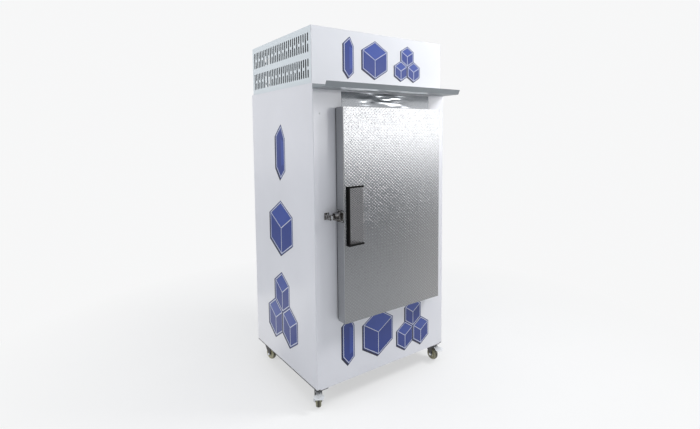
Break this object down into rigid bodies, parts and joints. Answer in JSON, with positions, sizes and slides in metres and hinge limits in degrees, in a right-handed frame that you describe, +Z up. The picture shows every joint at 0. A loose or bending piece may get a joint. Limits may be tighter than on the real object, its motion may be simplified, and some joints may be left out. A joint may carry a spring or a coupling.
{
  "type": "bagged ice merchandiser freezer",
  "caption": "Upright freezer for bagged ice: insulated white steel box on swivel casters with one side-hung metal door, a rain visor and a vented machine compartment on top",
  "frame": {"origin": "on the floor under the middle of the whole object, casters and visor included", "axes": "+Z up, -Y is the front with the door, +X is to the viewer's right when facing the door"},
  "size_m": [0.9885, 0.881, 2.038],
  "materials": {
    "white_paint": "smooth powder coat, slightly cool white",
    "visor_paint": "grey painted sheet",
    "dark_paint": "black enamel",
    "door_metal": "embossed aluminium sheet with a fine leathery grain",
    "trim_metal": "bright rolled steel",
    "pull_metal": "embossed sheet like the door skin, a little darker",
    "zinc": "bright zinc plate",
    "galvanised": "galvanised sheet",
    "liner": "white coated steel",
    "foam": "rigid foam boards",
    "black_plastic": "fine grain",
    "grey_plastic": "moulded",
    "gasket_rubber": "soft extruded gasket",
    "latch_chrome": "dark polished plating",
    "copper": "bare copper tube",
    "coil_fins": "pressed fins",
    "motor_enamel": "black enamel on the shell",
    "wheel_cream": "hard translucent tread and centre"
  },
  "bodies": {
    "cabinet": {"left_side_panel": "white_paint", "right_side_panel": "white_paint", "back_panel": "white_paint", "front_frame": "white_paint", "top_deck": "galvanised", "bottom_pan": "dark_paint", "insulation": "foam", "inner_liner": "liner", "opening_frame": "black_plastic", "trim_plate": "trim_metal", "visor": "visor_paint", "header_front_panel": "white_paint", "header_left_vent": "white_paint", "header_right_vent": "white_paint", "header_back_grille": "white_paint", "header_top_cover": "white_paint", "left_base_rail": "dark_paint", "right_base_rail": "dark_paint", "caster_plates": "dark_paint", "strike": "latch_chrome", "frame_hinge_leaves": "zinc", "machine_tray": "galvanised", "compressor": "motor_enamel", "condenser_coil": "coil_fins", "fan_shroud": "galvanised", "condenser_fan_motor": "motor_enamel", "control_box": "galvanised", "refrigerant_lines": "copper", "line_grommet": "black_plastic", "evaporator_housing": "liner", "evaporator_coil": "coil_fins", "evaporator_fan_motor": "motor_enamel", "drain_pipe": "black_plastic", "cord_gland": "black_plastic"},
    "door": {"door_skin": "door_metal", "door_foam": "foam", "door_liner": "liner", "door_gasket": "gasket_rubber", "door_hinge_leaves": "zinc", "pull_pocket": "pull_metal", "pull_trim": "black_plastic", "latch_case": "latch_chrome"},
    "plunger": {"latch_plunger": "latch_chrome"},
    "roller": {"latch_roller": "zinc"},
    "condenser_rotor": {"condenser_fan": "grey_plastic"},
    "evaporator_rotor": {"evaporator_fan": "grey_plastic"},
    "knob": {"thermostat_knob": "black_plastic"},
    "front_left_swivel": {"front_left_fork": "dark_paint"},
    "front_left_roll": {"front_left_wheel": "wheel_cream"},
    "front_left_brake": {"front_left_pedal": "zinc"},
    "front_right_swivel": {"front_right_fork": "dark_paint"},
    "front_right_roll": {"front_right_wheel": "wheel_cream"},
    "front_right_brake": {"front_right_pedal": "zinc"},
    "rear_left_swivel": {"rear_left_fork": "dark_paint"},
    "rear_left_roll": {"rear_left_wheel": "wheel_cream"},
    "rear_right_swivel": {"rear_right_fork": "dark_paint"},
    "rear_right_roll": {"rear_right_wheel": "wheel_cream"}
  },
  "joints": [
    {"name": "door_hinge", "type": "hinge", "parent": "cabinet", "child": "door", "pos_m": [0.3805, -0.3515, 1.051], "axis": [0, 0, 1], "range_deg": [0, 120]},
    {"name": "latch_press", "type": "slide", "parent": "door", "child": "plunger", "axis": [1, 0, 0], "range_m": [0, 0.006], "stiffness_N_per_m": 800},
    {"name": "latch_roller_spin", "type": "hinge", "parent": "plunger", "child": "roller", "pos_m": [-0.4063, -0.3525, 1.054], "axis": [0, 0, 1], "continuous": true},
    {"name": "condenser_fan_spin", "type": "hinge", "parent": "cabinet", "child": "condenser_rotor", "pos_m": [-0.3523, 0.0775, 1.858], "axis": [1, 0, 0], "continuous": true},
    {"name": "evaporator_fan_spin", "type": "hinge", "parent": "cabinet", "child": "evaporator_rotor", "pos_m": [0, 0.1805, 1.589], "axis": [0, 1, 0], "continuous": true},
    {"name": "thermostat_turn", "type": "hinge", "parent": "cabinet", "child": "knob", "pos_m": [0.25, 0.1535, 1.589], "axis": [0, 1, 0], "range_deg": [0, 300]},
    {"name": "front_left_swivel_turn", "type": "hinge", "parent": "cabinet", "child": "front_left_swivel", "pos_m": [-0.4375, -0.2435, 0.09], "axis": [0, 0, 1], "continuous": true},
    {"name": "front_left_wheel_roll", "type": "hinge", "parent": "front_left_swivel", "child": "front_left_roll", "pos_m": [-0.45065, -0.26822, 0.0375], "axis": [0.8829, -0.4695, 0], "continuous": true},
    {"name": "front_left_brake_press", "type": "hinge", "parent": "front_left_swivel", "child": "front_left_brake", "pos_m": [-0.46097, -0.28765, 0.0872], "axis": [0.8829, -0.4695, 0], "range_deg": [0, 10], "stiffness_Nm_per_rad": 3},
    {"name": "front_right_swivel_turn", "type": "hinge", "parent": "cabinet", "child": "front_right_swivel", "pos_m": [0.4375, -0.2435, 0.09], "axis": [0, 0, 1], "continuous": true},
    {"name": "front_right_wheel_roll", "type": "hinge", "parent": "front_right_swivel", "child": "front_right_roll", "pos_m": [0.43848, -0.27148, 0.0375], "axis": [0.9994, 0.0349, 0], "continuous": true},
    {"name": "front_right_brake_press", "type": "hinge", "parent": "front_right_swivel", "child": "front_right_brake", "pos_m": [0.43924, -0.29347, 0.0872], "axis": [0.9994, 0.0349, 0], "range_deg": [0, 10], "stiffness_Nm_per_rad": 3},
    {"name": "rear_left_swivel_turn", "type": "hinge", "parent": "cabinet", "child": "rear_left_swivel", "pos_m": [-0.4375, 0.3745, 0.09], "axis": [0, 0, 1], "continuous": true},
    {"name": "rear_left_wheel_roll", "type": "hinge", "parent": "rear_left_swivel", "child": "rear_left_roll", "pos_m": [-0.43073, 0.34733, 0.0375], "axis": [0.9703, 0.2419, 0], "continuous": true},
    {"name": "rear_right_swivel_turn", "type": "hinge", "parent": "cabinet", "child": "rear_right_swivel", "pos_m": [0.4375, 0.3745, 0.09], "axis": [0, 0, 1], "continuous": true},
    {"name": "rear_right_wheel_roll", "type": "hinge", "parent": "rear_right_swivel", "child": "rear_right_roll", "pos_m": [0.45065, 0.39922, 0.0375], "axis": [-0.8829, 0.4695, 0], "continuous": true}
  ]
}
